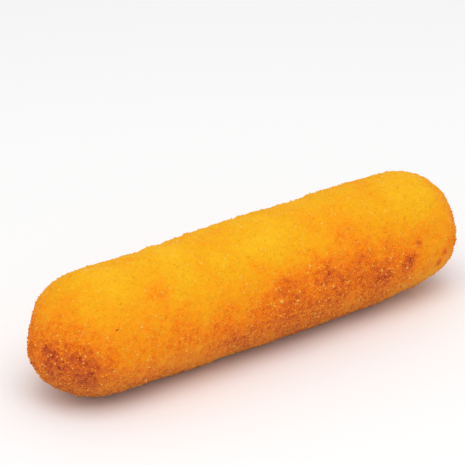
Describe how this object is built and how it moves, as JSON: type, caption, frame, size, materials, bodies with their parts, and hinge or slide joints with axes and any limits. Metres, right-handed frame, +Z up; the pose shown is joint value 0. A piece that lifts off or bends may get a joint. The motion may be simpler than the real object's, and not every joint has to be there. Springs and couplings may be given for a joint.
{
  "type": "corn dog",
  "caption": "Whole corn dog without a stick: a sausage in dough, rolled in fine breadcrumbs and fried golden orange, with rounded ends, lying on a small flat spot.",
  "frame": {"origin": "on the surface that it lies on, under the middle of its box", "axes": "+X along it from the slim end to the blunt end, +Z up"},
  "size_m": [0.15, 0.0394, 0.0376],
  "materials": {
    "fried_crumb": "fine breadcrumb crust, deep-fried golden orange, matt with a slight oily sheen"
  },
  "bodies": {
    "root": {"corn_dog": "fried_crumb"}
  },
  "joints": []
}
